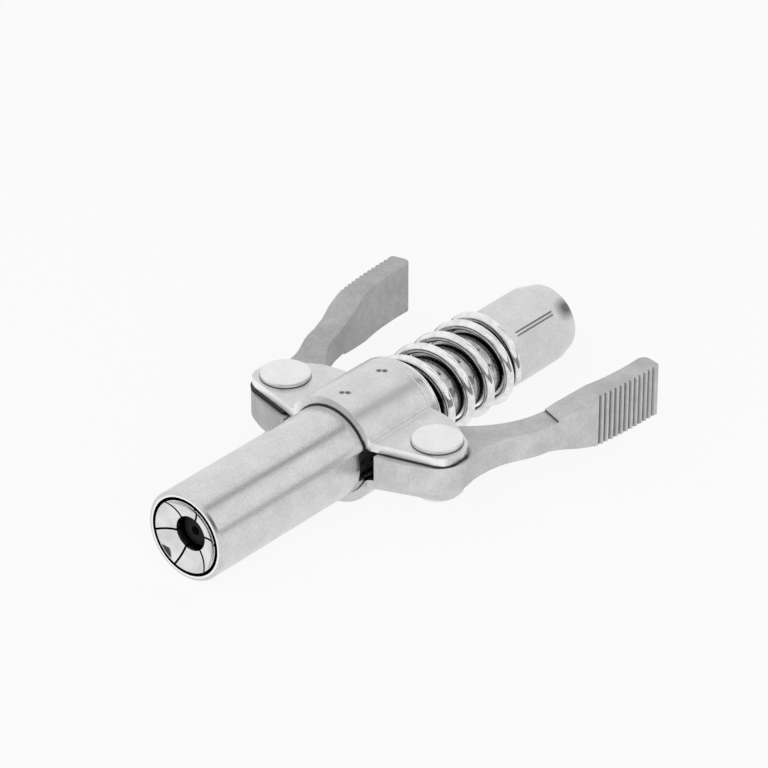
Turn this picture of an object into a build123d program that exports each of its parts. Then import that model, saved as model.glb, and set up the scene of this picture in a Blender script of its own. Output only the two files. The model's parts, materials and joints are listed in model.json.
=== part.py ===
from build123d import *
import os
from math import asin, cos, degrees, pi, radians, sin, sqrt

# Grease coupler: six jaws in a sprung sliding sleeve, two thumb levers and a hex inlet.
# The axis is Y, grease flows towards -Y, and the origin is the mouth of the inlet thread.

# Lengths along the axis: hex, main spring at rest, spring flange, barrel
hex_length = 19.0
spring_length = 26.5
flange_width = 2.2
barrel_length = 57.8

# Travel of the sleeve back over the inlet body
sleeve_travel = 4.0
stop_margin = 0.1

# Radii, built up from the neck outwards
neck_radius = 7.2
stop_ledge = 0.7
barrel_wall = 1.1
mouth_wall = 1.05
lock_step = 0.95
flange_lip = 1.85

# Barrel
mouth_depth = 2.5
lock_cone_length = 3.2
lock_end = 24.0
barrel_edge = 0.4
window_setback = 2.2
window_length = 17.2
window_corner = 1.0
spigot_length = 1.2
flange_edge = 0.25

# Wing plates
plate_thickness = 1.8
arch_length = 17.3
inside_bend = 1.0
outside_bend = 2.2
ear_side = 5.8
ear_front = 4.3
lower_ear_side = 5.0
lower_ear_front = 3.0
ear_rear = 2.9
ear_rear_run = 8.3
ear_rear_drop = 0.8
ear_root = 3.2
ear_front_corner = 3.2
ear_rear_corner = 4.4
dimple_radius = 0.45
dimple_floor = 0.15
dimple_depth = 0.3
dimple_front_inset = 3.55
dimple_rear_inset = 3.1
dimple_pair = [(0.1, -0.35), (0.95, 0.35)]

# Lever pivots and their rivets
pivot_offset = 9.8
pivot_back = 8.7
rivet_radius = 2.5
rivet_head_radius = 4.9
rivet_head_height = 1.0
rivet_tail_radius = 4.2
rivet_tail_height = 0.8
rivet_rim = 0.25

# Levers; the side away from the step lies a little closer to the middle, and its ramp starts earlier
lever_height = 6.0
flat_side_relief = 0.5
flat_side_ramp = 11.9
boss_radius = 6.65
nose_radius = 1.6
toe_width = 2.4
toe_length = 6.0
toe_floor_gap = 0.4
pad_height = 10.8
pad_step = 0.35
pad_ramp = 9.5
pad_corner = 1.6
pad_tip_corner = 0.6
groove_count = 12
groove_pitch = 1.35
groove_depth = 0.45

# Right lever's plan, counted from its pivot: x outwards, y towards the inlet
lever_front = [(-7.6, -9.3), (-1.5, -7.95)]
boss_angles = (-56, -20, 15)
arm_outside = [(6.15, 6.4), (7.1, 11.4), (9.9, 17.7), (11.1, 23.2)]
pad_outside = [(13.3, 31.5), (14.25, 39.4), (14.7, 48.0)]
pad_end = [(14.65, 48.9), (10.3, 49.9)]
arm_inside = [(10.1, 48.0), (10.0, 42.7), (8.8, 34.2), (6.4, 25.5), (5.5, 21.0), (2.8, 15.2), (-1.7, 10.3)]
lever_rear = [(-5.6, 6.9), (-7.6, 3.4)]
step_place = (8.5, 23.6)
step_angle = 69.4

# Main spring
spring_wire = 2.0
spring_bore_gap = 0.4
spring_turns = 5.4
spring_first_angle = 133.0

# Closed ends of every spring: turns laid almost flat, turns that lead out of them, their slope
closed_turns = 0.45
lead_turns = 0.5
closed_slope = 0.1

# Hex inlet
hex_flat_step = 0.825
hex_turned_step = 1.8
hex_corner_angle = 45.0
hex_taper_length = 6.8
hex_taper_drop = 1.75
hex_bevel_length = 1.9
hex_bevel_drop = 0.8
thread_radius = 4.3
thread_length = 10.0
thread_countersink = 0.4

# Neck tip, screwed into the jaw carrier, and its O-ring
tip_radius = 4.15
tip_length = 7.6
feed_radius = 1.6
carrier_wall = 1.0
tip_ring_section = 1.1
tip_ring_setback = 4.6

# Check valve in the neck
valve_bore_radius = 3.3
valve_bore_end = 28.0
seat_length = 3.0
seat_hole_radius = 1.5
seat_setback = 0.3
ball_radius = 2.2
valve_wire = 0.5
valve_spring_radius = 1.95
valve_spring_turns = 6.0

# Nozzle seal, its follower and spring
seal_radius = 3.1
seal_front = 2.8
seal_length = 10.7
seal_dome = 0.5
seal_hole_radius = 0.9
follower_length = 3.4
follower_stem_length = 2.0
seal_wire = 0.7
seal_spring_turns = 6.0

# Jaw carrier
tube_wall = 1.15
rib_height = 0.75
rib_width = 1.2
chamber_end = 25.0

# Jaws
jaw_count = 6
jaw_slit = 0.45
jaw_slit_angle = 9.0
jaw_rim_gap = 0.65
jaw_rim_length = 1.8
jaw_rim_land = 0.15
jaw_lock_gap = 0.2
jaw_shoulder_length = 2.4
jaw_relief = 0.7
jaw_relief_length = 2.2
jaw_pivot = 17.0
jaw_tail_length = 3.95
throat_start = 1.5
throat_length = 0.7
throat_gap = 0.4
jaw_neck_length = 3.5
pocket_gap = 0.5
funnel_sag = (0.2, 0.3)

# Elastic ring round the jaw tails
tail_ring_section = 1.1
tail_ring_back = 2.4

# Clearances
pin_fit = 0.06
bore_fit = 0.1
thread_fit = 0.05
side_gap = 0.15
jaw_gap = 0.2
toe_gap = 0.1

# Stations along the axis
hex_front = -hex_length
flange_rear = hex_front - spring_length
flange_front = flange_rear - flange_width
mouth = flange_front - barrel_length
arch_front = flange_front - arch_length
lock_start = mouth + mouth_depth + lock_cone_length
piston_rear = flange_front - spigot_length - thread_fit
piston_front = mouth + lock_end + sleeve_travel + stop_margin
jaw_pivot_y = mouth + jaw_pivot
jaw_tail_y = jaw_pivot_y + jaw_tail_length
jaw_bore_start = lock_start + jaw_neck_length
carrier_front = jaw_bore_start + 2 * jaw_gap

# Radii that follow
slide_radius = neck_radius + stop_ledge
barrel_radius = slide_radius + barrel_wall
mouth_radius = barrel_radius - mouth_wall
lock_radius = mouth_radius - lock_step
flange_radius = barrel_radius + flange_lip
hex_across_flats = 2 * (neck_radius + hex_flat_step)
hex_turned_radius = neck_radius + hex_turned_step
piston_radius = slide_radius - bore_fit
land_radius = lock_radius - jaw_gap
arch_inner = barrel_radius + bore_fit
arch_outer = arch_inner + plate_thickness
chamber_radius = seal_radius + jaw_gap
tube_radius = chamber_radius + tube_wall
jaw_bore_radius = tube_radius + 2 * jaw_gap
rib_radius = tube_radius + rib_height

# Lever stack and toe
pivot_x = barrel_radius + pivot_offset
pivot_y = flange_front - pivot_back
lever_half = lever_height / 2
ear_bottom = lever_half + side_gap
ear_top = ear_bottom + plate_thickness
slot_floor = tip_radius + thread_fit + carrier_wall
nose_reach = pivot_x - slot_floor - toe_floor_gap - nose_radius
toe_swing = asin(sleeve_travel / (2 * nose_reach))
slot_front = pivot_y + nose_reach * sin(toe_swing) - nose_radius - toe_gap

# How far cutting tools run past the metal, and points on each turn of a coil
overrun = 1.0
coil_steps = 10

PARTS = "parts"
os.makedirs(PARTS, exist_ok=True)


def save(piece, name):
    """Labels a finished piece with its node name and writes it."""
    piece.part.label = name
    export_step(piece.part, f"{PARTS}/{name}.step")


def outline(*points):
    """A closed straight-sided face, added to the sketch that is open."""
    with BuildLine() as edge:
        Polyline(*points, close=True)
    make_face(edge.edges())


def coil(start, end, wire, mean_radius, turns, first_angle):
    """A round-wire compression spring with closed ends, between two stations on the axis."""
    end_rise = closed_slope * closed_turns + lead_turns * (1 + closed_slope) / 2
    rise = end - start - wire
    pitch = rise / (turns - 2 * (closed_turns + lead_turns) + 2 * end_rise)

    def height(turn):
        lead = turn - closed_turns
        if lead <= 0:
            return closed_slope * turn
        if lead <= lead_turns:
            return closed_slope * turn + (1 - closed_slope) * lead * lead / (2 * lead_turns)
        return end_rise + lead - lead_turns

    points = []
    steps = round(turns * coil_steps)
    for n in range(steps + 1):
        turn = turns * n / steps
        up = pitch * height(turn) if turn <= turns / 2 else rise - pitch * height(turns - turn)
        angle = radians(first_angle) - 2 * pi * turn
        points.append((mean_radius * cos(angle), start + wire / 2 + up, mean_radius * sin(angle)))
    with BuildPart() as spring:
        with BuildLine() as path:
            Spline(*points)
        with BuildSketch(Plane(origin=path.line @ 0, z_dir=path.line % 0)):
            Circle(wire / 2)
        sweep(path=path.line)
    return spring


# Barrel: mouth bore, cone and lock bore for the jaws, slide bore for the piston, side windows
with BuildPart() as outer_sleeve:
    with BuildSketch():
        outline(
            (barrel_radius, flange_front),
            (barrel_radius, mouth + barrel_edge),
            (barrel_radius - barrel_edge, mouth),
            (mouth_radius, mouth),
            (mouth_radius, mouth + mouth_depth),
            (lock_radius, lock_start),
            (lock_radius, mouth + lock_end),
            (slide_radius, mouth + lock_end),
            (slide_radius, flange_front),
        )
    revolve(axis=Axis.Y)
    with BuildSketch(Plane.YZ):
        with Locations((flange_front - window_setback - window_length / 2, 0)):
            RectangleRounded(window_length, 2 * ear_bottom, window_corner)
    extrude(amount=barrel_radius + overrun, both=True, mode=Mode.SUBTRACT)
save(outer_sleeve, "outer_sleeve")

# Spring flange, pressed into the rear of the barrel; its bore slides on the neck
with BuildPart() as spring_flange:
    with BuildSketch():
        outline(
            (neck_radius + bore_fit, flange_front - spigot_length),
            (slide_radius - thread_fit, flange_front - spigot_length),
            (slide_radius - thread_fit, flange_front),
            (flange_radius, flange_front),
            (flange_radius, flange_rear),
            (neck_radius + bore_fit, flange_rear),
        )
    revolve(axis=Axis.Y)
    rims = spring_flange.edges().filter_by(GeomType.CIRCLE).group_by(SortBy.RADIUS)[-1]
    chamfer(rims, flange_edge)
save(spring_flange, "spring_flange")


def root_corners(section):
    """The section's corners where the arch meets the ears, lower and upper ones apart."""
    return section.vertices().filter_by_position(Axis.X, -arch_outer, arch_outer).group_by(Axis.Y)


def ear_corners(plan):
    """The plan's corners at the ends of the ears, front and rear ones apart."""
    return plan.vertices().filter_by(lambda v: abs(v.X) > pivot_x).group_by(Axis.Y)


def wing_plate(ear_reach, front_reach):
    """A pressed plate: an arch over the barrel that runs out into an ear on each side."""
    with BuildPart() as plate:
        with BuildSketch(Plane.XZ.offset(-flange_front)) as section:
            Circle(arch_outer)
            with Locations((0, (ear_bottom + ear_top) / 2)):
                Rectangle(2 * (pivot_x + ear_reach + overrun), plate_thickness)
            Circle(arch_inner, mode=Mode.SUBTRACT)
            with Locations((0, ear_bottom - arch_outer)):
                Rectangle(2 * arch_outer, 2 * arch_outer, mode=Mode.SUBTRACT)
            fillet(root_corners(section)[0], outside_bend)
            fillet(root_corners(section)[-1], inside_bend)
        extrude(amount=arch_length)
        with BuildSketch() as plan:
            for side in (1, -1):
                outline(
                    (0, arch_front),
                    (side * arch_inner, arch_front),
                    (side * (pivot_x + ear_reach), pivot_y - front_reach),
                    (side * (pivot_x + ear_reach), pivot_y + ear_rear),
                    (side * (pivot_x + ear_reach - ear_rear_run), flange_front - ear_rear_drop),
                    (side * (arch_inner + ear_root), flange_front),
                    (0, flange_front),
                )
            fillet(ear_corners(plan)[0], ear_front_corner)
            fillet(ear_corners(plan)[-1], ear_rear_corner)
        extrude(amount=arch_outer + overrun, mode=Mode.INTERSECT)
        with Locations((pivot_x, pivot_y, ear_top), (-pivot_x, pivot_y, ear_top)):
            Hole(rivet_radius + thread_fit)
        for middle in (arch_front + dimple_front_inset, flange_front - dimple_rear_inset):
            with Locations(*[(x, middle + y, arch_outer) for x, y in dimple_pair]):
                Cone(dimple_floor, 2 * dimple_radius - dimple_floor, 2 * dimple_depth, mode=Mode.SUBTRACT)
    return plate


# Wing plates, above and below the barrel; the lower one has the smaller ears
upper_wing_plate = wing_plate(ear_side, ear_front)
save(upper_wing_plate, "upper_wing_plate")

with BuildPart() as lower_wing_plate:
    mirror(wing_plate(lower_ear_side, lower_ear_front).part, about=Plane.XY)
save(lower_wing_plate, "lower_wing_plate")

# Pivot rivets: flat head above, peened tail below, shank through both ears and the lever boss
for side, name in ((1, "right_pivot_rivet"), (-1, "left_pivot_rivet")):
    with BuildPart() as rivet:
        with BuildSketch(Plane.XY.offset(-ear_top)):
            with Locations((side * pivot_x, pivot_y)):
                Circle(rivet_radius)
        extrude(amount=2 * ear_top)
        with BuildSketch(Plane.XY.offset(ear_top)):
            with Locations((side * pivot_x, pivot_y)):
                Circle(rivet_head_radius)
        extrude(amount=rivet_head_height)
        with BuildSketch(Plane.XY.offset(-ear_top)):
            with Locations((side * pivot_x, pivot_y)):
                Circle(rivet_tail_radius)
        extrude(amount=-rivet_tail_height)
        ends = rivet.edges().filter_by(GeomType.CIRCLE).group_by(Axis.Z)
        fillet(ends[0] + ends[-1], rivet_rim)
    save(rivet, name)


def from_pivot(points):
    """Points of the right lever's plan, moved from its pivot's coordinates to the part's."""
    return [(pivot_x + x, pivot_y + y) for x, y in points]


# Right lever: boss, toe reaching in through the barrel's window, curved arm and serrated thumb pad
with BuildPart() as right_lever:
    with BuildSketch() as plan:
        with BuildLine():
            round_boss = [(boss_radius * cos(radians(a)), boss_radius * sin(radians(a))) for a in boss_angles]
            boss = ThreePointArc(*from_pivot(round_boss))
            front = ThreePointArc(*from_pivot(lever_front), boss @ 0)
            serrated = ThreePointArc(*from_pivot(pad_outside))
            Spline(boss @ 1, *from_pivot(arm_outside), serrated @ 0, tangents=(boss % 1, serrated % 0))
            inside = Spline(*from_pivot(arm_inside))
            Polyline(serrated @ 1, *from_pivot(pad_end), inside @ 0)
            Polyline(inside @ 1, *from_pivot(lever_rear), front @ 0)
        make_face()
        fillet(plan.vertices().sort_by(Axis.Y)[-2:].sort_by(Axis.X)[0], pad_corner)
        fillet(plan.vertices().sort_by(Axis.X)[-2:].sort_by(Axis.Y)[-1], pad_tip_corner)
        with Locations(Location((pivot_x, pivot_y, 0), (0, 0, 180 - degrees(toe_swing)))):
            with Locations((nose_reach, 0)):
                Circle(nose_radius)
            with Locations((nose_reach - toe_length / 2, 0)):
                Rectangle(toe_length, toe_width)
            Circle(rivet_radius + pin_fit, mode=Mode.SUBTRACT)
        first_groove = (serrated.length - (groove_count - 1) * groove_pitch) / 2
        for n in range(groove_count):
            along = (first_groove + n * groove_pitch) / serrated.length
            spot = serrated.position_at(along)
            turn = serrated.tangent_angle_at(along)
            with Locations(Location((spot.X, spot.Y, 0), (0, 0, turn))):
                RegularPolygon(groove_depth, 4, mode=Mode.SUBTRACT)
    extrude(amount=pad_height / 2, both=True)
    towards_end = Vector(cos(radians(step_angle)), sin(radians(step_angle)), 0)
    across = Vector(towards_end.Y, -towards_end.X, 0)
    step_origin = (*from_pivot([step_place])[0], 0)
    with BuildSketch(Plane(origin=step_origin, x_dir=towards_end, z_dir=across)):
        beyond = pad_end[-1][1] - lever_front[0][1]
        pad_half = pad_height / 2
        flat_side = flat_side_relief - lever_half
        outline(
            (-beyond, lever_half),
            (0, lever_half),
            (0, lever_half + pad_step),
            (pad_ramp, pad_half),
            (beyond, pad_half),
            (beyond, -pad_half),
            (pad_ramp, -pad_half),
            (pad_ramp - flat_side_ramp, flat_side),
            (-beyond, flat_side),
        )
    extrude(amount=beyond, both=True, mode=Mode.INTERSECT)
save(right_lever, "right_lever")

# Left lever: the same forging turned over, so its step lies underneath
with BuildPart() as left_lever:
    add(right_lever.part.rotate(Axis.Y, 180))
save(left_lever, "left_lever")

# Main spring, from the flange to the front of the hex
spring_radius = neck_radius + spring_bore_gap + spring_wire / 2
main_spring = coil(flange_rear, hex_front, spring_wire, spring_radius, spring_turns, spring_first_angle)
save(main_spring, "main_spring")

# Inlet body: hex with the tapped inlet, polished neck with the valve bore, and the screwed tip
with BuildPart() as inlet_body:
    with BuildSketch(Plane.XZ):
        RegularPolygon(hex_across_flats / 2, 6, major_radius=False, rotation=hex_corner_angle)
    extrude(amount=hex_length)
    with BuildSketch():
        outline(
            (0, 0),
            (hex_turned_radius - hex_taper_drop, 0),
            (hex_turned_radius, -hex_taper_length),
            (hex_turned_radius, hex_front + hex_bevel_length),
            (hex_turned_radius - hex_bevel_drop, hex_front),
            (0, hex_front),
        )
    revolve(axis=Axis.Y, mode=Mode.INTERSECT)
    groove_bottom = tip_radius - tip_ring_section
    groove_rear = piston_rear - tip_ring_setback
    groove_front = groove_rear - tip_ring_section - 2 * jaw_gap
    tip_front = piston_rear - tip_length
    with BuildSketch():
        outline(
            (0, hex_front + 1),
            (neck_radius, hex_front + 1),
            (neck_radius, piston_rear + thread_fit),
            (tip_radius, piston_rear + thread_fit),
            (tip_radius, groove_rear),
            (groove_bottom, groove_rear),
            (groove_bottom, groove_front),
            (tip_radius, groove_front),
            (tip_radius, tip_front),
            (0, tip_front),
        )
    revolve(axis=Axis.Y)
    with BuildSketch():
        outline(
            (0, 1),
            (thread_radius + thread_countersink + 1, 1),
            (thread_radius + thread_countersink, 0),
            (thread_radius, -thread_countersink),
            (thread_radius, -thread_length - thread_countersink),
            (valve_bore_radius, -thread_length - thread_countersink),
            (valve_bore_radius, -valve_bore_end),
            (feed_radius, -valve_bore_end),
            (feed_radius, tip_front - 1),
            (0, tip_front - 1),
        )
    revolve(axis=Axis.Y, mode=Mode.SUBTRACT)
save(inlet_body, "inlet_body")

# O-ring that seals the screwed tip in its socket
with BuildPart() as tip_o_ring:
    with Locations(Location((0, (groove_front + groove_rear) / 2, 0), (90, 0, 0))):
        Torus(tip_radius - tip_ring_section / 2, tip_ring_section / 2 - thread_fit / 2)
save(tip_o_ring, "tip_o_ring")

# Check valve: seat ring, ball and light spring in the neck's bore
seat_rear = -thread_length - thread_countersink - seat_setback
seat_front = seat_rear - seat_length
ball_y = seat_front - sqrt(ball_radius**2 - seat_hole_radius**2) - thread_fit
with BuildPart() as check_seat:
    with BuildSketch():
        outline(
            (seat_hole_radius, seat_rear),
            (valve_bore_radius - thread_fit, seat_rear),
            (valve_bore_radius - thread_fit, seat_front),
            (seat_hole_radius, seat_front),
        )
    revolve(axis=Axis.Y)
save(check_seat, "check_seat")

with BuildPart() as check_ball:
    with Locations((0, ball_y, 0)):
        Sphere(ball_radius)
save(check_ball, "check_ball")

valve_touch = sqrt((ball_radius + valve_wire / 2 + thread_fit) ** 2 - valve_spring_radius**2)
spring_rear = ball_y - valve_touch + valve_wire / 2
check_spring = coil(-valve_bore_end, spring_rear, valve_wire, valve_spring_radius, valve_spring_turns, 0)
save(check_spring, "check_spring")

# Jaw carrier: seal tube with the fulcrum rib, stop land, and the piston that the toes push on
socket_radius = tip_radius + thread_fit
socket_end = tip_front - 2 * jaw_gap
land_front = jaw_tail_y + jaw_gap
with BuildPart() as jaw_carrier:
    with BuildSketch():
        with BuildLine():
            rib_front = (tube_radius, jaw_pivot_y - rib_width)
            rib_rear = (tube_radius, jaw_pivot_y + rib_width)
            Polyline(
                rib_rear,
                (tube_radius, land_front),
                (land_radius, land_front),
                (land_radius, piston_front),
                (piston_radius, piston_front),
                (piston_radius, piston_rear),
                (socket_radius, piston_rear),
                (socket_radius, socket_end),
                (feed_radius, socket_end),
                (feed_radius, mouth + chamber_end),
                (chamber_radius, mouth + chamber_end),
                (chamber_radius, carrier_front),
                (tube_radius, carrier_front),
                rib_front,
            )
            ThreePointArc(rib_front, (rib_radius, jaw_pivot_y), rib_rear)
        make_face()
    revolve(axis=Axis.Y)
    with BuildSketch():
        slot_reach = piston_radius + 1 - slot_floor
        slot_length = piston_rear + 1 - slot_front
        slot_x = slot_floor + slot_reach / 2
        with Locations((slot_x, slot_front + slot_length / 2), (-slot_x, slot_front + slot_length / 2)):
            Rectangle(slot_reach, slot_length)
    extrude(amount=ear_bottom, both=True, mode=Mode.SUBTRACT)
save(jaw_carrier, "jaw_carrier")


def jaw_section():
    """Half section of the ring of jaws, from the funnel at the mouth to the tails."""
    rim = mouth_radius - jaw_rim_gap
    shoulder = lock_radius - jaw_lock_gap
    body = lock_radius - jaw_relief
    shoulder_end = lock_start + 3 * jaw_lock_gap
    shoulder_start = shoulder_end - jaw_shoulder_length
    throat = seal_radius + throat_gap
    pocket = seal_radius + pocket_gap
    throat_front = mouth + throat_start
    throat_rear = throat_front + throat_length
    funnel_start = (rim - jaw_rim_land, mouth)
    funnel_end = (throat, throat_front)
    ring_y = jaw_pivot_y + tail_ring_back
    ring_half = tail_ring_section / 2 + jaw_gap
    ring_bottom = body - tail_ring_section / 2 - jaw_gap
    groove_radius = rib_radius + jaw_gap
    groove_half = rib_width + jaw_gap
    funnel_middle = (
        (funnel_start[0] + funnel_end[0]) / 2 + funnel_sag[0],
        (funnel_start[1] + funnel_end[1]) / 2 + funnel_sag[1],
    )
    with BuildLine() as edge:
        ThreePointArc(funnel_start, funnel_middle, funnel_end)
        Polyline(
            funnel_end,
            (throat, throat_rear),
            (pocket, throat_rear + pocket_gap),
            (pocket, jaw_bore_start),
            (jaw_bore_radius, jaw_bore_start),
            (jaw_bore_radius, jaw_pivot_y - groove_half),
        )
        ThreePointArc(
            (jaw_bore_radius, jaw_pivot_y - groove_half),
            (groove_radius, jaw_pivot_y),
            (jaw_bore_radius, jaw_pivot_y + groove_half),
        )
        Polyline(
            (jaw_bore_radius, jaw_pivot_y + groove_half),
            (jaw_bore_radius, jaw_tail_y),
            (body, jaw_tail_y),
            (body, ring_y + ring_half),
            (ring_bottom, ring_y + ring_half),
            (ring_bottom, ring_y - ring_half),
            (body, ring_y - ring_half),
            (body, shoulder_end + jaw_relief_length),
            (shoulder, shoulder_end),
            (shoulder, shoulder_start),
            (rim, mouth + jaw_rim_length),
            (rim, mouth),
            funnel_start,
        )
    make_face(edge.edges())


# Jaws: the ring of jaws cut into equal segments by radial slits
jaw_step = 360 / jaw_count
for number in range(jaw_count):
    first = radians(jaw_slit_angle + number * jaw_step)
    last = first + radians(jaw_step)
    first_side = Vector(-sin(first), 0, cos(first))
    last_side = Vector(sin(last), 0, -cos(last))
    with BuildPart() as jaw:
        with BuildSketch():
            jaw_section()
        revolve(axis=Axis.Y)
        split(bisect_by=Plane(origin=first_side * (jaw_slit / 2), z_dir=first_side))
        split(bisect_by=Plane(origin=last_side * (jaw_slit / 2), z_dir=last_side))
    save(jaw, f"jaw_{number + 1}")

# Elastic ring that gathers the jaw tails behind their fulcrum
with BuildPart() as tail_ring:
    with Locations(Location((0, jaw_pivot_y + tail_ring_back, 0), (90, 0, 0))):
        Torus(lock_radius - jaw_relief, tail_ring_section / 2)
save(tail_ring, "tail_ring")

# Nozzle seal: rubber, domed in front, with a feed hole; pushed back by the fitting
seal_start = mouth + seal_front
seal_end = seal_start + seal_length
with BuildPart() as nozzle_seal:
    with BuildSketch():
        with BuildLine():
            dome_edge = (seal_radius, seal_start + seal_dome)
            Polyline(
                dome_edge,
                (seal_radius, seal_end),
                (seal_hole_radius, seal_end),
                (seal_hole_radius, seal_start),
            )
            ThreePointArc(
                (seal_hole_radius, seal_start),
                ((seal_radius + seal_hole_radius) / 2, seal_start + seal_dome / 4),
                dome_edge,
            )
        make_face()
    revolve(axis=Axis.Y)
save(nozzle_seal, "nozzle_seal")

# Follower that backs the seal and centres its spring
follower_shoulder = seal_end + follower_length
stem_radius = seal_radius - seal_wire - bore_fit - jaw_gap
with BuildPart() as seal_follower:
    with BuildSketch():
        outline(
            (seal_hole_radius, seal_end),
            (seal_radius, seal_end),
            (seal_radius, follower_shoulder),
            (stem_radius, follower_shoulder),
            (stem_radius, follower_shoulder + follower_stem_length),
            (seal_hole_radius, follower_shoulder + follower_stem_length),
        )
    revolve(axis=Axis.Y)
save(seal_follower, "seal_follower")

seal_spring_radius = seal_radius - bore_fit / 2 - seal_wire / 2
seal_spring = coil(
    follower_shoulder, mouth + chamber_end, seal_wire, seal_spring_radius, seal_spring_turns, 90
)
save(seal_spring, "seal_spring")
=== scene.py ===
"""The grease coupler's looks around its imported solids: materials, springs, thread, camera and light."""
import json
import math

import bmesh
import bpy
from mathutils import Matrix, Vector


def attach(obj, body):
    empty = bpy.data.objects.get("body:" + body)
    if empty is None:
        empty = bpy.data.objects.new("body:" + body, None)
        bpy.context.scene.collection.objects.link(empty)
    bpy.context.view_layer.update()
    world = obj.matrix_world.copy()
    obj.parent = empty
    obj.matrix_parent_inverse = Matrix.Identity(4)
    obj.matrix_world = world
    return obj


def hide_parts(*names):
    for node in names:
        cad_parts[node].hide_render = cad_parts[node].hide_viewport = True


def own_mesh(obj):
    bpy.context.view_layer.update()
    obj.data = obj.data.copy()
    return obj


MM = 0.001

# Camera, fitted to the photograph
VIEW_TURN = math.radians(40.48)
VIEW_RISE = math.radians(30.9)
VIEW_DISTANCE = 854 * MM
VIEW_CENTRE = Vector((0, -53.5 * MM, 0))
AIM_RIGHT = 0.00302
AIM_UP = 0.00905
LENS = 211.36
SENSOR = 36.0

# Stations and radii of the CAD solids, in mm
HEX_FRONT = -19.0
FLANGE_REAR = -45.5
CHAMBER_END = -80.5
FOLLOWER_SHOULDER = -88.6
VALVE_BORE_END = -28.0
BALL_REAR = -16.7
MOUTH = -105.5
LIP_RADIUS = 8.35

# Springs' closed ends: turns laid almost flat, turns that lead out of them, their slope
CLOSED_TURNS = 0.45
LEAD_TURNS = 0.5
CLOSED_SLOPE = 0.1

# Inlet thread, in mm
THREAD_START = -0.4
THREAD_END = -10.4
THREAD_ROOT = 4.32
THREAD_CREST = 3.98
THREAD_PITCH = 0.94
THREAD_STEPS = 48
THREAD_SUNK = 0.03

# Upper wing plate's plan, in mm
ARCH_CORNER = (9.1, -65.0)
EAR_BEND = 12.2
EAR_FRONT = (24.6, -60.7)
EAR_REAR = -54.5
EAR_CORNER = 3.2

# Floor and backdrop
FLOOR_LEVEL = -10.95
FLOOR_SIZE = 3.0
FLOOR_WHITENESS = 0.88
WORLD_LEVEL = 0.5

# Middle part of a noise's values, over which tones change
TONES = (0.38, 0.62)

# Coarse and fine mottling of satin plating, in spots per mm
CLOUD = 0.22
MOTTLE = 1.6

# Colour of the painted shade in grooves and gaps and of the painted dark spots
PAINTED_DARK = (0.02, 0.02, 0.02)

# Painted dark spots, each with its centre, its reach along X, Y and Z in mm, and its softness: first
# painted shade in the punched marks, then a painted dark reflection along the hex's upper corner and where
# that corner runs out
MARK_SHADE_DEPTH = 0.75
MARK_HEIGHT = 10.75
MARK_REACH = (0.7, 0.72, 0.8)
MARK_SOFTNESS = 0.45
MARK_PLACES = ((0.1, -61.8), (0.95, -61.1), (0.1, -51.15), (0.95, -50.45))
MARK_SHADE = [((x, y, MARK_HEIGHT), MARK_REACH, MARK_SOFTNESS) for x, y in MARK_PLACES]
HEX_REFLECTION_DEPTH = 0.8
HEX_DARK_REFLECTIONS = [
    ((6.62, -10, 6.10), (0.24, 30, 0.24), 0.7),
    ((6.10, -10, 6.62), (0.24, 30, 0.24), 0.7),
    ((5.7, -1.0, 5.1), (2.7, 4.8, 2.6), 0.75),
]

# Joining distance of the CAD meshes' corners, in m, and the angle from which an edge stays sharply shaded
JOIN_DISTANCE = 2e-6
SHARP_ANGLE = math.radians(40)


def camera_axes():
    """The camera's right, up and backward directions before it is aimed off its centre."""
    back = Vector((math.sin(VIEW_TURN) * math.cos(VIEW_RISE), -math.cos(VIEW_TURN) * math.cos(VIEW_RISE),
                   math.sin(VIEW_RISE)))
    right = Vector((math.cos(VIEW_TURN), math.sin(VIEW_TURN), 0))
    return right, back.cross(right), back


def add_camera():
    right, up, back = camera_axes()
    data = bpy.data.cameras.new("photo_camera")
    data.lens = LENS
    data.sensor_width = SENSOR
    data.clip_start = 0.05
    data.clip_end = 20
    camera = bpy.data.objects.new("photo_camera", data)
    camera.location = VIEW_CENTRE + back * VIEW_DISTANCE
    forward = -back + AIM_RIGHT * right + AIM_UP * up
    camera.rotation_euler = forward.to_track_quat("-Z", "Y").to_euler()
    bpy.context.scene.collection.objects.link(camera)
    bpy.context.scene.camera = camera


def link(mesh, name):
    obj = bpy.data.objects.new(name, mesh)
    bpy.context.scene.collection.objects.link(obj)
    return obj


# Coils

def coil_path(start, end, wire, mean_radius, turns, first_angle, steps_per_turn):
    """Points along a compression spring with closed ends, between two stations on the axis, in mm."""
    end_rise = CLOSED_SLOPE * CLOSED_TURNS + LEAD_TURNS * (1 + CLOSED_SLOPE) / 2
    rise = end - start - wire
    pitch = rise / (turns - 2 * (CLOSED_TURNS + LEAD_TURNS) + 2 * end_rise)

    def height(turn):
        past = turn - CLOSED_TURNS
        if past <= 0:
            return CLOSED_SLOPE * turn
        if past <= LEAD_TURNS:
            return CLOSED_SLOPE * turn + (1 - CLOSED_SLOPE) * past * past / (2 * LEAD_TURNS)
        return end_rise + past - LEAD_TURNS

    points = []
    steps = round(turns * steps_per_turn)
    for n in range(steps + 1):
        turn = turns * n / steps
        up = pitch * height(turn) if turn <= turns / 2 else rise - pitch * height(turns - turn)
        angle = math.radians(first_angle) - 2 * math.pi * turn
        across = mean_radius * math.cos(angle)
        above = mean_radius * math.sin(angle)
        points.append(Vector((across, start + wire / 2 + up, above)))
    return points


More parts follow.
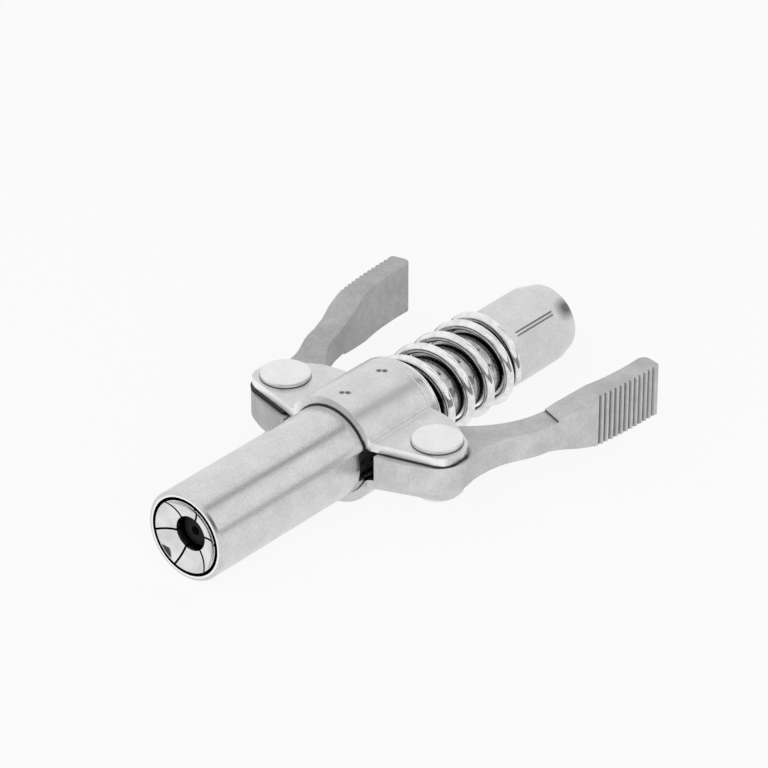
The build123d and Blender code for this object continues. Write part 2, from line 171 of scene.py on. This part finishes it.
def wire_mesh(name, points, wire, sides, edge):
    """A round wire along points, its cut ends slightly chamfered, with its length and girth as UV."""
    last = len(points) - 1
    full = wire / 2
    tangents = [(points[min(n + 1, last)] - points[max(n - 1, 0)]).normalized() for n in range(last + 1)]
    stations = [(points[0], tangents[0], full - edge), (points[0] + tangents[0] * edge, tangents[0], full)]
    stations += [(points[n], tangents[n], full) for n in range(1, last)]
    stations += [(points[last] - tangents[last] * edge, tangents[last], full),
                 (points[last], tangents[last], full - edge)]
    turns = [2 * math.pi * s / sides for s in range(sides)]
    bm = bmesh.new()
    uv = bm.loops.layers.uv.new("wire")
    rings = []
    lengths = [0.0]
    for n, (centre, tangent, radius) in enumerate(stations):
        out = Vector((centre.x, 0, centre.z))
        out = (out - tangent * out.dot(tangent)).normalized()
        side = tangent.cross(out)
        ring = [centre + (out * math.cos(t) + side * math.sin(t)) * radius for t in turns]
        rings.append([bm.verts.new(point * MM) for point in ring])
        if n:
            lengths.append(lengths[-1] + (centre - stations[n - 1][0]).length)
    for k in range(len(rings) - 1):
        for s in range(sides):
            t = (s + 1) % sides
            face = bm.faces.new((rings[k][s], rings[k][t], rings[k + 1][t], rings[k + 1][s]))
            face.smooth = True
            corners = [(lengths[k], s), (lengths[k], s + 1), (lengths[k + 1], s + 1), (lengths[k + 1], s)]
            for loop, (u, v) in zip(face.loops, corners):
                loop[uv].uv = (u / wire, v / sides)
    bm.faces.new(list(reversed(rings[0])))
    bm.faces.new(rings[-1])
    bmesh.ops.recalc_face_normals(bm, faces=bm.faces)
    mesh = bpy.data.meshes.new(name)
    bm.to_mesh(mesh)
    bm.free()
    return mesh


# Thread

def thread_mesh(name, start, end, root, crest, pitch, steps_per_turn):
    """An inside thread's ridge wound along Y, rising and fading over its first and last turn; sizes in mm."""
    turns = (start - end) / pitch
    steps = round(turns * steps_per_turn)
    bm = bmesh.new()
    rings = []
    for n in range(steps + 1):
        turn = turns * n / steps
        angle = 2 * math.pi * turn
        grown = min(1, turn, turns - turn)
        middle = start - pitch * turn
        flank = 0.45 * pitch * grown
        foot = root + THREAD_SUNK
        tip = root - (root - crest) * grown
        land = flank / 8
        profile = ((foot, middle + flank), (tip, middle + land), (tip, middle - land), (foot, middle - flank))
        ring = [Vector((r * math.cos(angle), y, r * math.sin(angle))) for r, y in profile]
        rings.append([bm.verts.new(point * MM) for point in ring])
    for first, second in zip(rings, rings[1:]):
        for k in range(3):
            bm.faces.new((first[k], first[k + 1], second[k + 1], second[k]))
    bmesh.ops.recalc_face_normals(bm, faces=bm.faces)
    mesh = bpy.data.meshes.new(name)
    bm.to_mesh(mesh)
    bm.free()
    return mesh


# Painted shade in the gaps: near-black strips

def ear_rim(side, inset, height):
    """Points along the front and outer edge of a wing plate's ear, set in from it, in mm."""
    slope = math.atan2(EAR_FRONT[1] - ARCH_CORNER[1], EAR_FRONT[0] - ARCH_CORNER[0])
    centre_x = EAR_FRONT[0] - EAR_CORNER
    centre_y = EAR_FRONT[1] - EAR_CORNER * math.tan(slope) + EAR_CORNER / math.cos(slope)
    radius = EAR_CORNER - inset
    turns = [slope - math.pi / 2 + (math.pi / 2 - slope) * n / 8 for n in range(9)]
    corner = [(centre_x + radius * math.cos(t), centre_y + radius * math.sin(t)) for t in turns]
    start_y = ARCH_CORNER[1] + (EAR_BEND - ARCH_CORNER[0]) * math.tan(slope) + inset / math.cos(slope)
    rim = [(EAR_BEND, start_y)] + corner + [(EAR_FRONT[0] - inset, EAR_REAR)]
    return [Vector((side * x, y, height)) for x, y in rim]


def arch_rim(radius):
    """Points round the barrel just in front of the upper wing plate's arch, in mm."""
    turns = [math.radians(22 + 136 * n / 48) for n in range(49)]
    return [Vector((radius * math.cos(t), ARCH_CORNER[1] - 0.08, radius * math.sin(t))) for t in turns]


# Shader building

def new_material(name, colour, metallic, roughness):
    material = bpy.data.materials.new(name)
    material.use_nodes = True
    tree = material.node_tree
    shader = tree.nodes["Principled BSDF"]
    shader.inputs["Base Color"].default_value = (*colour, 1)
    shader.inputs["Metallic"].default_value = metallic
    shader.inputs["Roughness"].default_value = roughness
    return material, tree, shader


def place(tree, scale):
    """Object coordinates in mm, times a scale along each axis."""
    coords = tree.nodes.new("ShaderNodeTexCoord")
    mapping = tree.nodes.new("ShaderNodeMapping")
    mapping.inputs["Scale"].default_value = [s / MM for s in scale]
    tree.links.new(coords.outputs["Object"], mapping.inputs["Vector"])
    return mapping.outputs["Vector"]


def noise(tree, vector, scale, detail, roughness):
    node = tree.nodes.new("ShaderNodeTexNoise")
    node.inputs["Scale"].default_value = scale
    node.inputs["Detail"].default_value = detail
    node.inputs["Roughness"].default_value = roughness
    tree.links.new(vector, node.inputs["Vector"])
    return node.outputs["Fac"]


def spread(tree, value, low, high, to_low, to_high):
    """A value rescaled from low..high to to_low..to_high, and held at those ends."""
    node = tree.nodes.new("ShaderNodeMapRange")
    node.inputs["From Min"].default_value = low
    node.inputs["From Max"].default_value = high
    node.inputs["To Min"].default_value = to_low
    node.inputs["To Max"].default_value = to_high
    tree.links.new(value, node.inputs["Value"])
    return node.outputs["Result"]


def maths(tree, operation, a, b):
    """One operation on a and b, each a number or a node's value."""
    node = tree.nodes.new("ShaderNodeMath")
    node.operation = operation
    for socket, value in zip(node.inputs, (a, b)):
        if isinstance(value, (int, float)):
            socket.default_value = value
        else:
            tree.links.new(value, socket)
    return node.outputs["Value"]


def component(tree, vector, axis):
    """A vector's share along one axis."""
    node = tree.nodes.new("ShaderNodeSeparateXYZ")
    tree.links.new(vector, node.inputs["Vector"])
    return node.outputs[axis]


def vector_length(tree, vector):
    """A vector's length."""
    node = tree.nodes.new("ShaderNodeVectorMath")
    node.operation = "LENGTH"
    tree.links.new(vector, node.inputs[0])
    return node.outputs["Value"]


def shifted(tree, operation, vector, by):
    """A vector less a fixed one, or divided by it, axis by axis."""
    node = tree.nodes.new("ShaderNodeVectorMath")
    node.operation = operation
    node.inputs[1].default_value = by
    tree.links.new(vector, node.inputs[0])
    return node.outputs["Vector"]


def tint(tree, fac, dark, light):
    """A grey between dark and light."""
    node = tree.nodes.new("ShaderNodeMix")
    node.data_type = "RGBA"
    node.inputs["A"].default_value = (*dark, 1)
    node.inputs["B"].default_value = (*light, 1)
    tree.links.new(fac, node.inputs["Factor"])
    return node.outputs["Result"]


def blend(tree, kind, fac, a, b):
    """From a to b, where both change over the surface."""
    node = tree.nodes.new("ShaderNodeMix")
    node.data_type = kind
    for socket, value in (("Factor", fac), ("A", a), ("B", b)):
        tree.links.new(value, node.inputs[socket])
    return node.outputs["Result"]


def towards(tree, fac, colour, target):
    """A colour that turns into a fixed one as fac goes from 0 to 1."""
    node = tree.nodes.new("ShaderNodeMix")
    node.data_type = "RGBA"
    node.inputs["B"].default_value = (*target, 1)
    tree.links.new(fac, node.inputs["Factor"])
    tree.links.new(colour, node.inputs["A"])
    return node.outputs["Result"]


def weigh(tree, *shares):
    """A weighted sum of values."""
    total = None
    for value, share in shares:
        scaled = maths(tree, "MULTIPLY", value, share)
        total = scaled if total is None else maths(tree, "ADD", total, scaled)
    return total


def painted_shade(tree, colour, reach, open_share, least):
    """A colour with painted shade: darker in grooves, corners and gaps, within a reach in mm.

    A surface that sees more than the open share of its surroundings keeps its colour; least of it is left in
    the depth.
    """
    open_sky = tree.nodes.new("ShaderNodeAmbientOcclusion")
    open_sky.samples = 8
    open_sky.inputs["Distance"].default_value = reach * MM
    # Painted shade: the less of its surroundings a point sees, the darker it is painted
    shade_amount = spread(tree, open_sky.outputs["AO"], open_share / 2, open_share, 1 - least, 0)
    return towards(tree, shade_amount, colour, PAINTED_DARK)


def painted_dark_spots(tree, colour, depth, *spots):
    """A colour with painted dark spots, each with its centre, its reach along X, Y, Z in mm, and its
    softness.
    """
    coords = place(tree, (1, 1, 1))
    total = None
    for centre, reach, softness in spots:
        offset = shifted(tree, "DIVIDE", shifted(tree, "SUBTRACT", coords, centre), reach)
        near = spread(tree, vector_length(tree, offset), 1 - softness, 1, depth, 0)
        total = near if total is None else maths(tree, "MAXIMUM", total, near)
    return towards(tree, total, colour, PAINTED_DARK)


def seen_directly(tree):
    """1 for the camera's rays and those that come by way of gloss or glass, 0 for light on matt surfaces."""
    path = tree.nodes.new("ShaderNodeLightPath")
    seen = maths(tree, "MAXIMUM", path.outputs["Is Camera Ray"], path.outputs["Is Glossy Ray"])
    return maths(tree, "MAXIMUM", seen, path.outputs["Is Transmission Ray"])


def relief(tree, shader, height, depth_mm):
    """Bumps of a depth in mm on a shader's surface."""
    node = tree.nodes.new("ShaderNodeBump")
    node.inputs["Strength"].default_value = 1
    node.inputs["Distance"].default_value = depth_mm * MM
    tree.links.new(height, node.inputs["Height"])
    tree.links.new(node.outputs["Normal"], shader.inputs["Normal"])


def grey(value):
    return (value, value, value * 1.005)


def painted_cut_highlight(tree, colour, bright):
    """A colour with a painted highlight: brighter on the ears' faces square to Y, where the plate was cut."""
    normal = tree.nodes.new("ShaderNodeTexCoord").outputs["Normal"]
    facing = maths(tree, "ABSOLUTE", component(tree, normal, "Y"), 0)
    aside = maths(tree, "ABSOLUTE", component(tree, place(tree, (1, 1, 1)), "X"), 0)
    cut_highlight = maths(tree, "MULTIPLY", spread(tree, facing, 0.45, 0.7, 0, 1), spread(tree, aside, 6.8, 9.0, 0, 1))
    return towards(tree, cut_highlight, colour, grey(bright))


def painted_lip_highlight(tree, colour, bright):
    """A colour with a painted highlight: brighter on the inner half of the barrel's front face."""
    radius = vector_length(tree, place(tree, (1, 0, 1)))
    inner = spread(tree, radius, LIP_RADIUS - 0.1, LIP_RADIUS, 1, 0)
    station = component(tree, place(tree, (1, 1, 1)), "Y")
    front = spread(tree, station, MOUTH + 0.02, MOUTH + 0.06, 1, 0)
    return towards(tree, maths(tree, "MULTIPLY", inner, front), colour, grey(bright))


def plated_steel(name, dark, light, smooth, rough, lengthwise, cut_highlight=None, spots=(), lip_highlight=None):
    """Mottled satin plating, grain drawn along Y; painted highlights on cut faces and lip, painted shade in
    gaps and spots.
    """
    material, tree, shader = new_material(name, grey(light), 1.0, rough)
    drawn = place(tree, (1, 1 / lengthwise, 1))
    even = place(tree, (1, 1, 1))
    grain = noise(tree, drawn, 2.6, 4, 0.6)
    cloud = noise(tree, even, CLOUD, 4, 0.6)
    mottle = noise(tree, even, MOTTLE, 3, 0.6)
    mixed = weigh(tree, (grain, 0.2), (cloud, 0.4), (mottle, 0.4))
    tone = spread(tree, mixed, *TONES, 0, 1)
    colour = tint(tree, tone, grey(dark), grey(light))
    if cut_highlight:
        colour = painted_cut_highlight(tree, colour, cut_highlight)
    colour = painted_shade(tree, colour, 0.35, 0.9, 0.05)
    if lip_highlight:
        colour = painted_lip_highlight(tree, colour, lip_highlight)
    if spots:
        colour = painted_dark_spots(tree, colour, MARK_SHADE_DEPTH, *spots)
    tree.links.new(colour, shader.inputs["Base Color"])
    tree.links.new(spread(tree, mixed, *TONES, rough, smooth), shader.inputs["Roughness"])
    relief(tree, shader, weigh(tree, (grain, 0.35), (mottle, 0.65)), 0.006)
    return material


def blasted_steel(name, dark, light, rough, metallic, painted_light_lift):
    """Grit-blasted forging: fine pitted grain under a cloudy grey; painted light on the +X side, painted
    shade in grooves.
    """
    material, tree, shader = new_material(name, grey(light), metallic, rough)
    even = place(tree, (1, 1, 1))
    pits = noise(tree, even, 2.6, 4, 0.75)
    cloud = noise(tree, even, 0.3, 5, 0.7)
    tone = spread(tree, weigh(tree, (pits, 0.5), (cloud, 0.5)), *TONES, 0, 1)
    # Painted light: the lever on the +X side, towards the lamps, is lighter than the one on the -X side
    right = spread(tree, component(tree, even, "X"), -2, 2, 0, 1)
    shaded_colour = tint(tree, tone, grey(dark), grey(light))
    lit_colour = tint(tree, tone, grey(dark + painted_light_lift), grey(light + painted_light_lift))
    colour = blend(tree, "RGBA", right, shaded_colour, lit_colour)
    tree.links.new(painted_shade(tree, colour, 0.9, 1.0, 0.0), shader.inputs["Base Color"])
    tree.links.new(spread(tree, pits, 0.3, 0.7, rough + 0.08, rough - 0.08), shader.inputs["Roughness"])
    relief(tree, shader, pits, 0.03)
    return material


def polished_steel(name, dark, light, rough, turning, patch=0.5):
    """Polished metal with faint marks of turning about Y, a cloudy film in patches of 1 / patch mm, and
    painted shade.
    """
    material, tree, shader = new_material(name, grey(light), 1.0, rough)
    turned = place(tree, (1 / turning, 1, 1 / turning))
    even = place(tree, (1, 1, 1))
    rings = noise(tree, turned, 4.0, 3, 0.6)
    film = noise(tree, even, patch, 4, 0.6)
    tone = spread(tree, film, *TONES, 0, 1)
    colour = painted_shade(tree, tint(tree, tone, grey(dark), grey(light)), 1.2, 0.8, 0.1)
    tree.links.new(colour, shader.inputs["Base Color"])
    tree.links.new(spread(tree, film, 0.35, 0.65, rough * 1.5, rough * 0.8), shader.inputs["Roughness"])
    relief(tree, shader, rings, 0.0012)
    return material


def inlet_steel(name):
    """Satin plating on the hex; in front of it a polished neck with marks of turning."""
    material, tree, shader = new_material(name, grey(0.7), 1.0, 0.3)
    even = place(tree, (1, 1, 1))
    turned = place(tree, (0.1, 1, 0.1))
    on_hex = spread(tree, component(tree, even, "Y"), HEX_FRONT - 0.05, HEX_FRONT - 0.01, 0, 1)
    cloud = noise(tree, even, CLOUD, 4, 0.6)
    mottle = noise(tree, even, MOTTLE, 3, 0.6)
    rings = noise(tree, turned, 3.0, 3, 0.6)
    satin = spread(tree, weigh(tree, (cloud, 0.5), (mottle, 0.5)), *TONES, 0, 1)
    film = spread(tree, noise(tree, even, 0.5, 4, 0.6), 0.35, 0.65, 0, 1)
    # Painted dark reflection along the hex's upper corner and where that corner runs out
    hex_colour = painted_dark_spots(tree, tint(tree, satin, grey(0.62), grey(0.70)), HEX_REFLECTION_DEPTH, *HEX_DARK_REFLECTIONS)
    # Painted shade: the neck's darker grey, and its darkening round the coils
    neck_colour = painted_shade(tree, tint(tree, film, grey(0.38), grey(0.64)), 1.6, 0.8, 0.4)
    tree.links.new(blend(tree, "RGBA", on_hex, neck_colour, hex_colour), shader.inputs["Base Color"])
    hex_gloss = spread(tree, satin, 0, 1, 0.34, 0.26)
    neck_gloss = spread(tree, film, 0, 1, 0.2, 0.1)
    tree.links.new(blend(tree, "FLOAT", on_hex, neck_gloss, hex_gloss), shader.inputs["Roughness"])
    relief(tree, shader, blend(tree, "FLOAT", on_hex, rings, mottle), 0.004)
    return material


def rubber(name):
    """Matt black rubber with a fine moulded skin."""
    material, tree, shader = new_material(name, (0.006, 0.006, 0.006), 0.0, 0.5)
    shader.inputs["Specular IOR Level"].default_value = 0.15
    even = place(tree, (1, 1, 1))
    skin = noise(tree, even, 5.0, 4, 0.6)
    tree.links.new(spread(tree, skin, 0.3, 0.7, 0.45, 0.65), shader.inputs["Roughness"])
    tree.links.new(tint(tree, skin, (0.003, 0.003, 0.003), (0.01, 0.01, 0.01)), shader.inputs["Base Color"])
    relief(tree, shader, skin, 0.01)
    return material


def gap_shade_black(name):
    """Near-black, slightly lumpy matt material for the strips of painted shade in the gaps."""
    material, tree, shader = new_material(name, (0.01, 0.01, 0.01), 0.0, 0.5)
    lumps = noise(tree, place(tree, (1, 1, 1)), 4.0, 3, 0.6)
    tree.links.new(tint(tree, lumps, (0.004, 0.004, 0.004), (0.02, 0.02, 0.02)), shader.inputs["Base Color"])
    tree.links.new(spread(tree, lumps, 0.3, 0.7, 0.4, 0.7), shader.inputs["Roughness"])
    relief(tree, shader, lumps, 0.02)
    return material


# Studio

def add_floor():
    """Pale paper that keeps the part's shadow and is nearly white to the camera."""
    mesh = bpy.data.meshes.new("floor")
    half = FLOOR_SIZE / 2
    level = FLOOR_LEVEL * MM
    corners = [(-half, -half, level), (half, -half, level), (half, half, level), (-half, half, level)]
    mesh.from_pydata(corners, [], [(0, 1, 2, 3)])
    floor = link(mesh, "floor")
    material, tree, shader = new_material("floor_paper", (0.93, 0.93, 0.93), 0.0, 0.9)
    shader.inputs["Specular IOR Level"].default_value = 0.0
    white = tree.nodes.new("ShaderNodeEmission")
    mix = tree.nodes.new("ShaderNodeMixShader")
    tree.links.new(maths(tree, "MULTIPLY", seen_directly(tree), FLOOR_WHITENESS), mix.inputs["Fac"])
    tree.links.new(shader.outputs["BSDF"], mix.inputs[1])
    tree.links.new(white.outputs["Emission"], mix.inputs[2])
    tree.links.new(mix.outputs["Shader"], tree.nodes["Material Output"].inputs["Surface"])
    floor.data.materials.append(material)


def add_world():
    """White to the camera and in reflections; a little softer on matt surfaces, where the lamps add to it."""
    world = bpy.data.worlds.new("studio")
    bpy.context.scene.world = world
    world.use_nodes = True
    tree = world.node_tree
    background = tree.nodes["Background"]
    background.inputs["Color"].default_value = (1, 1, 1, 1)
    tree.links.new(spread(tree, seen_directly(tree), 0, 1, WORLD_LEVEL, 1.0), background.inputs["Strength"])


def add_light(name, spot, aim, size, power):
    """A soft lamp that doesn't show in polished metal."""
    data = bpy.data.lights.new(name, "AREA")
    data.shape = "RECTANGLE"
    data.size = size[0]
    data.size_y = size[1]
    data.energy = power
    lamp = bpy.data.objects.new(name, data)
    lamp.location = spot
    lamp.rotation_euler = (Vector(aim) - Vector(spot)).to_track_quat("-Z", "Y").to_euler()
    lamp.visible_glossy = False
    bpy.context.scene.collection.objects.link(lamp)


def add_flag(name, direction, distance, width, height, colour):
    """A dark studio flag that shows only as a streak or patch in polished metal."""
    centre = VIEW_CENTRE + Vector(direction).normalized() * distance
    mesh = bpy.data.meshes.new(name)
    w = width / 2
    h = height / 2
    mesh.from_pydata([(-w, -h, 0), (w, -h, 0), (w, h, 0), (-w, h, 0)], [], [(0, 1, 2, 3)])
    flag = link(mesh, name)
    flag.location = centre
    flag.rotation_euler = (centre - VIEW_CENTRE).to_track_quat("Z", "Y").to_euler()
    material, tree, shader = new_material(name, colour, 0.0, 1.0)
    flag.data.materials.append(material)
    flag.visible_camera = False
    flag.visible_diffuse = False
    flag.visible_shadow = False
    flag.visible_transmission = False


def round_edges(obj, width, angle):
    """Joins the CAD mesh's corners and rounds its edges of more than angle degrees; width in mm."""
    weld = obj.modifiers.new("join", "WELD")
    weld.merge_threshold = JOIN_DISTANCE
    bevel = obj.modifiers.new("rounded", "BEVEL")
    bevel.width = width * MM
    bevel.segments = 2
    bevel.limit_method = "ANGLE"
    bevel.angle_limit = math.radians(angle)
    bevel.material = 1
    split = obj.modifiers.new("keep_corners", "EDGE_SPLIT")
    split.split_angle = SHARP_ANGLE
    shade = obj.modifiers.new("even_shading", "WEIGHTED_NORMAL")
    shade.weight = 100


def add_spring(name, node, finish, coil, steps, sides, edge):
    """Draws a spring in place of a CAD node, which it hides, and attaches it to the inlet."""
    start, end, wire, mean_radius, turns, first_angle = coil
    path = coil_path(start, end, wire, mean_radius, turns, first_angle, steps)
    spring = link(wire_mesh(name, path, wire, sides, edge), name)
    spring.data.materials.append(paints[finish])
    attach(spring, "inlet")
    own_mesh(spring)
    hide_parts(node)


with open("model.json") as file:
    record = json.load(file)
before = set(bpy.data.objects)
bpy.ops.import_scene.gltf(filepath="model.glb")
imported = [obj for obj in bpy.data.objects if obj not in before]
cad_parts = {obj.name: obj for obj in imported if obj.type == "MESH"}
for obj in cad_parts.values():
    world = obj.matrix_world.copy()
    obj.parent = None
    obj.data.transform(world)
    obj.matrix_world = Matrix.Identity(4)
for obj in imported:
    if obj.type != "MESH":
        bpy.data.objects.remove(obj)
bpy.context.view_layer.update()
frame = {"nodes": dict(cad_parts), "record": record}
nodes = frame["nodes"]
slot_of = {s["node"]: s["material_slot"] for s in frame["record"]["subparts"]}

# Finishes of the material slots, then those of rounded edges (worn, painted highlight, painted shade) and of
# the lower plate
paints = {
    "barrel_plating": plated_steel("barrel_plating", 0.60, 0.72, 0.22, 0.30, 14, lip_highlight=0.98),
    "plate_plating": plated_steel("plate_plating", 0.61, 0.72, 0.26, 0.36, 3, 0.95, MARK_SHADE),
    "rivet_steel": plated_steel("rivet_steel", 0.76, 0.85, 0.26, 0.34, 1),
    "forged_steel": blasted_steel("forged_steel", 0.40, 0.58, 0.50, 0.25, 0.08),
    "spring_wire": polished_steel("spring_wire", 0.72, 0.88, 0.10, 1),
    "small_spring_wire": polished_steel("small_spring_wire", 0.70, 0.85, 0.12, 1),
    "polished_steel": inlet_steel("polished_steel"),
    "jaw_steel": polished_steel("jaw_steel", 0.62, 0.80, 0.08, 8, 0.2),
    "carrier_steel": polished_steel("carrier_steel", 0.35, 0.50, 0.30, 8),
    "valve_steel": polished_steel("valve_steel", 0.60, 0.75, 0.12, 8),
    "black_rubber": rubber("black_rubber"),
}
worn_edge = plated_steel("worn_edge", 0.76, 0.86, 0.25, 0.35, 1)
# A painted highlight for the right lever's rounded edges, and painted shade for the left lever's and the
# rivets'
painted_highlight_edge = plated_steel("painted_highlight_edge", 0.88, 0.97, 0.25, 0.35, 1)
painted_shade_edge = plated_steel("painted_shade_edge", 0.10, 0.20, 0.35, 0.45, 1)
# Painted shade: the lower plate gets a darker copy of the plates' plating
shaded_lower_plating = plated_steel("shaded_lower_plating", 0.58, 0.67, 0.26, 0.36, 3)
for node, obj in nodes.items():
    obj.data.materials.clear()
    obj.data.materials.append(shaded_lower_plating if node == "lower_wing_plate" else paints[slot_of[node]])

# The right lever's rounding carries a painted highlight; the left lever's and the rivets' carry painted shade
# Edges to round: the nodes, the finish of the rounding, its width in mm and the least angle
edges = (
    (("right_lever",), painted_highlight_edge, 0.26, 35),
    (("left_lever",), painted_shade_edge, 0.12, 35),
    (("upper_wing_plate", "lower_wing_plate"), worn_edge, 0.13, 50),
    (("right_pivot_rivet", "left_pivot_rivet"), painted_shade_edge, 0.12, 20),
    (("spring_flange",), worn_edge, 0.12, 35),
    (("inlet_body",), paints["polished_steel"], 0.35, 20),
)
for names, paint, width, angle in edges:
    for node in names:
        nodes[node].data.materials.append(paint)
        round_edges(nodes[node], width, angle)

# Springs; each coil is its two ends, wire, mean radius, turns and first angle
add_spring("drawn_main_spring", "main_spring", "spring_wire",
           coil=(FLANGE_REAR, HEX_FRONT, 2.0, 8.6, 5.4, 133.0), steps=96, sides=32, edge=0.12)
add_spring("drawn_seal_spring", "seal_spring", "small_spring_wire",
           coil=(FOLLOWER_SHOULDER, CHAMBER_END, 0.7, 2.7, 6.0, 90), steps=32, sides=12, edge=0.05)
add_spring("drawn_check_spring", "check_spring", "small_spring_wire",
           coil=(VALVE_BORE_END, BALL_REAR, 0.5, 1.95, 6.0, 0), steps=32, sides=12, edge=0.04)

# Thread in the inlet
thread_shape = (THREAD_START, THREAD_END, THREAD_ROOT, THREAD_CREST, THREAD_PITCH, THREAD_STEPS)
thread = link(thread_mesh("inlet_thread_ridge", *thread_shape), "inlet_thread_ridge")
thread.data.materials.append(paints["polished_steel"])
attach(thread, "inlet")

# Painted shade: black strips between the ears and the levers and at the arch's front, seen as dark lines;
# path and width in mm
gap_shade = gap_shade_black("gap_shade_black")
beads = (
    ("right_gap_shade", ear_rim(1, 0.05, 3.05), 0.5),
    ("left_gap_shade", ear_rim(-1, 0.12, 2.7), 1.0),
    ("arch_gap_shade", arch_rim(9.08), 0.34),
)
for name, path, width in beads:
    bead = link(wire_mesh(name, path, width, 8, 0.05), name)
    bead.data.materials.append(gap_shade)
    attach(bead, "sleeve")

# Camera and studio
add_camera()
add_floor()
add_world()
add_light("key", (0.45, -0.92, 0.45), (0, -0.05, 0), (1.9, 1.5), 9.5)
add_light("fill", (0.77, -0.97, 0.15), (0, -0.05, 0), (1.0, 1.0), 3.2)
add_flag("ridge_flag", (0.267, 0.653, 0.708), 1.0, 0.13, 0.9, (0.02, 0.02, 0.02))
add_flag("side_flag", (0.75, 0.65, 0.12), 1.0, 0.9, 0.11, (0.25, 0.25, 0.25))
add_flag("nose_flag", (0.257, -0.935, 0.241), 0.1145, 0.056, 0.0385, (0.12, 0.12, 0.12))
bpy.context.scene.view_settings.view_transform = "Standard"
